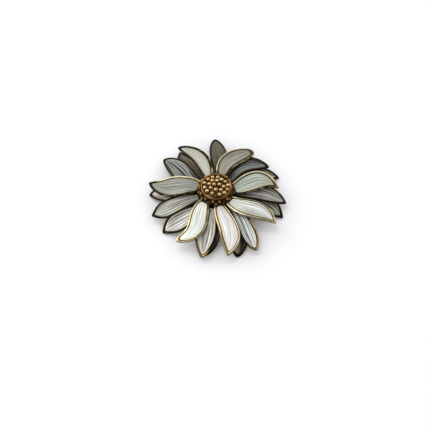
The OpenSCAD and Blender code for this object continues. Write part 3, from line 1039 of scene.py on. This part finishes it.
def add_shell(bm):
    """The hollow dome, a little cleaner between beads that stand far apart."""
    steps = [i / SHELL_STEPS for i in range(SHELL_STEPS + 1)]
    shell = [(0, RING_Z - 0.5 * SHELL_T), (RING_R - 1.6 * SHELL_T, RING_Z - 0.6 * SHELL_T),
             (CENTRE_R - SHELL_T, CENTRE_Z)]
    shell += [(flank_r(s), CENTRE_Z + RING_RISE * s) for s in steps]
    shell += [(RING_R * (1 - s), cap_z(RING_R * (1 - s))) for s in steps[1:]]
    spin_shell(bm, shell, SHELL_WEAR, DOME_SEGMENTS)
    wear = numbers(bm, "wear")
    for vert in bm.verts:
        if vert.co.z > RING_Z * MM:
            room = min((vert.co.xy / MM - Vector(bead)).length for bead in CAP_BEADS)
            vert[wear] = CAP_WEAR + CAP_RUBBED * ease(room, 0.7, 1.3)


def add_wire(bm):
    """The wire lies on the shoulder of the dome, a little inside its edge."""
    middle_r, middle_z = RING_R - WIRE_OUT, RING_Z + WIRE_OUT
    turns = [2 * math.pi * i / WIRE_SIDES for i in range(WIRE_SIDES)]
    wire = [(middle_r + WIRE_D / 2 * math.cos(a), middle_z + WIRE_D / 2 * math.sin(a))
            for a in turns]
    spin_shell(bm, wire, WIRE_WEAR, DOME_SEGMENTS, closed=True)


def add_stud(bm):
    """The stud, from its riveted head below the base strip up into the dome."""
    head_z = STUD_FOOT_Z + RIVET_T
    stud = [(0, STUD_FOOT_Z), (RIVET_R - RIVET_EDGE, STUD_FOOT_Z),
            (RIVET_R, STUD_FOOT_Z + RIVET_EDGE), (RIVET_R, head_z), (STUD_R, head_z),
            (STUD_R, RING_Z), (0, RING_Z)]
    spin_shell(bm, stud, STUD_WEAR, STUD_SEGMENTS)


def make_centre():
    bm = new_petal_mesh()
    chance = random.Random(4)
    add_shell(bm)
    add_wire(bm)
    add_stud(bm)
    add_cap_beads(bm, chance)
    add_flank_beads(bm, chance)
    return finish_piece(bm, "beaded_centre", CENTRE_GILT, "gilt_centre", "flower_centre")


centre = make_centre()
print("centre:", len(centre.data.polygons), "faces")

# %% [markdown]
# ## The pin and catch
# Behind the flower sit a base strip, a hinge block, the pin stem and its hooked catch.
# They were bent and filed from sheet and wire, so every edge is a little round. Plain
# boxes would do, because nobody looks there, but a turned brooch shows them. The strip is
# a bevelled box, the block a disc drawn up into the strip, the stem is turned, and the
# hook is a small rectangle spun round the stem.

# %% Pin and catch
PIN_Y = 3.0
PIN_Z = 1.2
PIN_D = 0.8
PIN_SEGMENTS = 28
POINT_START = 0.3
POINT_PROFILE = ((2.3, 0.11), (2.46, 0.07), (2.5, 0))
STRIP = Vector((25, 7, 0.5))
STRIP_Y = 1.0
STRIP_FOOT = 2.55
STRIP_CORNER = 1.0
STRIP_EDGE = 0.12
BLOCK_X = -11.1
BLOCK_R = 1.2
BLOCK_W = 2.6
CATCH_X = 10.6
CATCH_W = 2.2
CATCH_T = 0.35
CATCH_R = 0.7
CATCH_TURN = 240
CATCH_LAP = 0.02
INTO_STRIP = 0.1
FITTING_WEAR = 0.5


def part_edges(verts):
    return list({e for v in verts for e in v.link_edges})


def round_off(bm, edges, width, segments):
    bmesh.ops.bevel(bm, geom=edges, offset=width * MM, offset_type="OFFSET", segments=segments,
                    profile=0.5, affect="EDGES", material=-1)


def add_box(bm, size, middle):
    place = Matrix.Translation(middle * MM) @ Matrix.Diagonal((*(size * MM), 1))
    return bmesh.ops.create_cube(bm, size=1, matrix=place)["verts"]


def add_strip(bm):
    middle = Vector((0, STRIP_Y, STRIP_FOOT + STRIP.z / 2))
    edges = part_edges(add_box(bm, STRIP, middle))
    upright = [e for e in edges if abs(e.verts[0].co.z - e.verts[1].co.z) > 0.1 * MM]
    round_off(bm, upright, STRIP_CORNER, 8)
    rims = [e for e in bm.edges if e.calc_face_angle(0) > 1.2]
    round_off(bm, rims, STRIP_EDGE, 2)


def add_block(bm):
    """The hinge block: a disc on edge whose upper half is drawn up into the strip."""
    disc = bmesh.ops.create_circle(bm, cap_ends=True, segments=40, radius=BLOCK_R * MM)["verts"]
    top = (STRIP_FOOT - PIN_Z + INTO_STRIP) * MM
    for vert in disc:
        x, z = vert.co.x, vert.co.y
        if z > 0.0001 * MM:
            x = math.copysign(BLOCK_R * MM, x) if abs(x) > 0.8 * BLOCK_R * MM else x
            z = top
        vert.co = (x + BLOCK_X * MM, (PIN_Y - BLOCK_W / 2) * MM, z + PIN_Z * MM)
    bmesh.ops.remove_doubles(bm, verts=disc, dist=0.001 * MM)
    face = [f for v in disc if v.is_valid for f in v.link_faces][:1]
    made = bmesh.ops.extrude_face_region(bm, geom=face)["geom"]
    bmesh.ops.translate(bm, verts=new_corners(made), vec=(0, BLOCK_W * MM, 0))


def add_hook(bm):
    """A small rectangle beside the stem is spun round it, and a wall joins it to the strip."""
    side = CATCH_R + CATCH_T / 2
    place = Matrix.Translation(Vector((CATCH_X, PIN_Y - side, PIN_Z)) * MM)
    size = Matrix.Diagonal((CATCH_W * MM, CATCH_T * MM, 1, 1))
    lip = bmesh.ops.create_grid(bm, x_segments=1, y_segments=1, size=0.5,
                                matrix=place @ size)["verts"]
    bmesh.ops.spin(bm, geom=[*lip, *part_edges(lip), *lip[0].link_faces],
                   cent=Vector((CATCH_X, PIN_Y, PIN_Z)) * MM, axis=(1, 0, 0),
                   angle=math.radians(CATCH_TURN), steps=PIN_SEGMENTS)
    foot = PIN_Z - CATCH_LAP
    rise = STRIP_FOOT - foot + INTO_STRIP
    add_box(bm, Vector((CATCH_W, CATCH_T, rise)), Vector((CATCH_X, PIN_Y + side, foot + rise / 2)))


def add_stem(bm):
    """Turns the stem about its own line, from the block to its point past the catch. Each
    row of the point is a length and a radius."""
    straight = CATCH_X + CATCH_W / 2 + POINT_START
    profile = [(BLOCK_X, 0), (BLOCK_X, PIN_D / 2), (straight, PIN_D / 2)]
    profile += [(straight + length, radius) for length, radius in POINT_PROFILE]
    points = [(x, PIN_Y, PIN_Z + r) for x, r in profile]
    spin_points(bm, points, (1, 0, 0), Vector((0, PIN_Y, PIN_Z)), FITTING_WEAR, PIN_SEGMENTS)


def add_strip_boss(bm):
    """The boss that keeps the strip off the lowest plate."""
    foot = STRIP_FOOT + STRIP.z
    top = LOWER_FORM.root_z - FLOOR_T - HUB_UNDER - GAP
    profile = [(BORE_R, foot), (BOSS_R, foot), (BOSS_R, top), (BORE_R, top)]
    spin_shell(bm, profile, FITTING_WEAR, STUD_SEGMENTS, closed=True)


def make_fittings():
    bm = new_petal_mesh()
    add_strip(bm)
    add_block(bm)
    add_hook(bm)
    add_stem(bm)
    add_strip_boss(bm)
    wear = numbers(bm, "wear")
    for vert in bm.verts:
        vert[wear] = FITTING_WEAR
    return finish_piece(bm, "pin_fitting", FITTING_GILT, "fittings", "pin_and_catch", sharp=35)


fittings = make_fittings()
print("fittings:", len(fittings.data.polygons), "faces")
